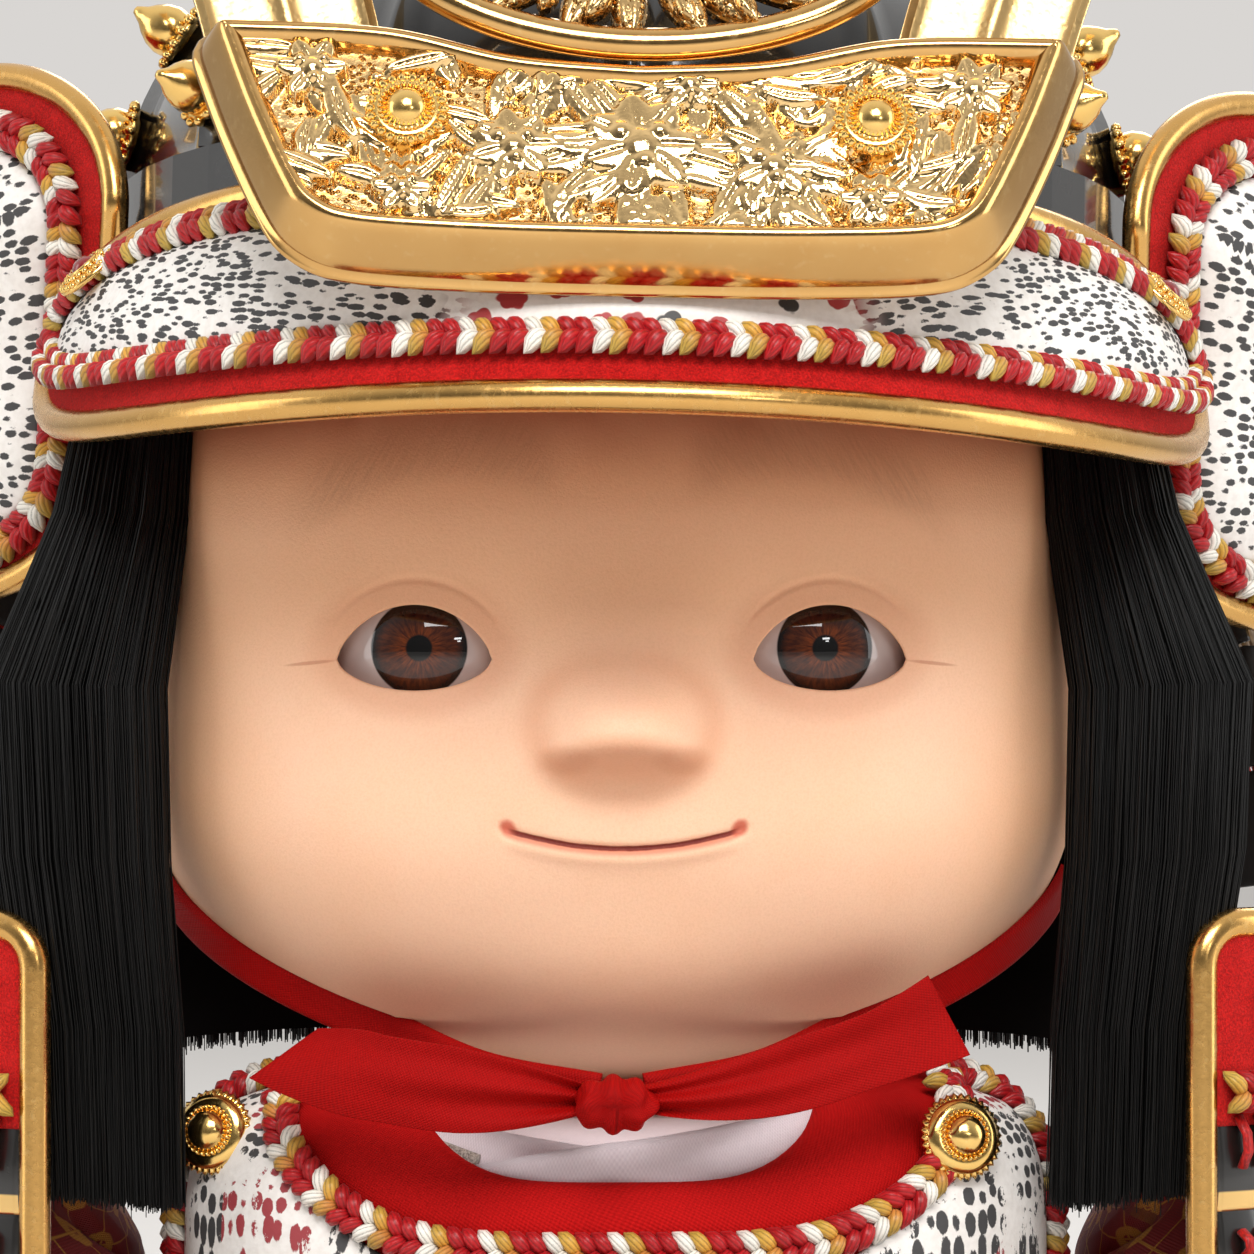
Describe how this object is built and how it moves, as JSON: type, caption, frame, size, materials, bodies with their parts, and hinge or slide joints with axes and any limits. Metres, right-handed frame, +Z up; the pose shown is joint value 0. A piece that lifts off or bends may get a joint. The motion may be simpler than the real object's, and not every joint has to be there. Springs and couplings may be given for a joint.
{
  "type": "samurai doll",
  "caption": "Seated child samurai doll in laced armour, with a carved head, glass eyes, fibre hair and a helmet with gilt horns, made to stand on a shelf.",
  "frame": {"origin": "on the underside of the base board, under the middle of the head", "axes": "+Z up, the doll faces -Y, +X is the doll's left"},
  "size_m": [0.155, 0.129, 0.2636],
  "materials": {
    "back_knot": "red woven silk",
    "base_board": "plain pale wood",
    "boot_left": "dark brown pile",
    "boot_right": "dark brown pile",
    "bow_knot": "red woven silk",
    "bow_loop_left": "red woven silk",
    "bow_loop_right": "red woven silk",
    "chest_braid": "flat silk braid in red, white and gold",
    "chest_button_left": "bright gilt",
    "chest_button_right": "bright gilt",
    "chest_leather_left": "off-white leather printed in black",
    "chest_leather_right": "off-white leather printed in black",
    "chest_plate": "red felt over a board",
    "chin_cord_left": "red woven silk",
    "chin_cord_right": "red woven silk",
    "crown_fitting": "bright gilt",
    "cuirass": "glossy black lacquer",
    "eye_left": "polished brown glass with a dark pupil",
    "eye_right": "polished brown glass with a dark pupil",
    "front_crest": "bright gilt",
    "front_plate": "bright gilt",
    "hair_back": "straight black fibre",
    "hair_lock_left": "straight black fibre",
    "hair_lock_right": "straight black fibre",
    "hand_left": "matte painted skin colour",
    "hand_right": "matte painted skin colour",
    "head": "matte painted skin colour",
    "helmet_band": "glossy black lacquer",
    "helmet_bowl": "glossy black lacquer",
    "helmet_lining": "dark felt padding",
    "horn_left": "bright gilt",
    "horn_right": "bright gilt",
    "neck_guard": "glossy black lacquer",
    "neck_peg": "plain pale wood",
    "red_robe": "red woven silk",
    "shoulder_guard_left": "red felt over a board",
    "shoulder_guard_right": "red felt over a board",
    "skirt_back": "glossy black lacquer",
    "skirt_front": "glossy black lacquer",
    "skirt_left": "glossy black lacquer",
    "skirt_right": "glossy black lacquer",
    "sleeve_left": "dark red woven brocade, stuffed",
    "sleeve_right": "dark red woven brocade, stuffed",
    "torso_core": "plain pale wood",
    "trouser_leg_left": "dark red woven brocade, stuffed",
    "trouser_leg_right": "dark red woven brocade, stuffed",
    "trouser_seat": "dark red woven brocade, stuffed",
    "turnback_braid_left": "flat silk braid in red, white and gold",
    "turnback_braid_right": "flat silk braid in red, white and gold",
    "turnback_leather_left": "off-white leather printed in black",
    "turnback_leather_right": "off-white leather printed in black",
    "turnback_left": "red felt over a board",
    "turnback_right": "red felt over a board",
    "visor": "red felt over a board",
    "visor_braid": "flat silk braid in red, white and gold",
    "visor_leather": "off-white leather printed in black",
    "visor_rim": "bright gilt",
    "waist_sash": "white woven cotton",
    "white_kimono": "white woven cotton"
  },
  "bodies": {
    "root": {"back_knot": "back_knot", "base_board": "base_board", "boot_left": "boot_left", "boot_right": "boot_right", "bow_knot": "bow_knot", "bow_loop_left": "bow_loop_left", "bow_loop_right": "bow_loop_right", "chest_braid": "chest_braid", "chest_button_left": "chest_button_left", "chest_button_right": "chest_button_right", "chest_leather_left": "chest_leather_left", "chest_leather_right": "chest_leather_right", "chest_plate": "chest_plate", "chin_cord_left": "chin_cord_left", "chin_cord_right": "chin_cord_right", "crown_fitting": "crown_fitting", "cuirass": "cuirass", "eye_left": "eye_left", "eye_right": "eye_right", "front_crest": "front_crest", "front_plate": "front_plate", "hair_back": "hair_back", "hair_lock_left": "hair_lock_left", "hair_lock_right": "hair_lock_right", "hand_left": "hand_left", "hand_right": "hand_right", "head": "head", "helmet_band": "helmet_band", "helmet_bowl": "helmet_bowl", "helmet_lining": "helmet_lining", "horn_left": "horn_left", "horn_right": "horn_right", "neck_guard": "neck_guard", "neck_peg": "neck_peg", "red_robe": "red_robe", "shoulder_guard_left": "shoulder_guard_left", "shoulder_guard_right": "shoulder_guard_right", "skirt_back": "skirt_back", "skirt_front": "skirt_front", "skirt_left": "skirt_left", "skirt_right": "skirt_right", "sleeve_left": "sleeve_left", "sleeve_right": "sleeve_right", "torso_core": "torso_core", "trouser_leg_left": "trouser_leg_left", "trouser_leg_right": "trouser_leg_right", "trouser_seat": "trouser_seat", "turnback_braid_left": "turnback_braid_left", "turnback_braid_right": "turnback_braid_right", "turnback_leather_left": "turnback_leather_left", "turnback_leather_right": "turnback_leather_right", "turnback_left": "turnback_left", "turnback_right": "turnback_right", "visor": "visor", "visor_braid": "visor_braid", "visor_leather": "visor_leather", "visor_rim": "visor_rim", "waist_sash": "waist_sash", "white_kimono": "white_kimono"}
  },
  "joints": []
}
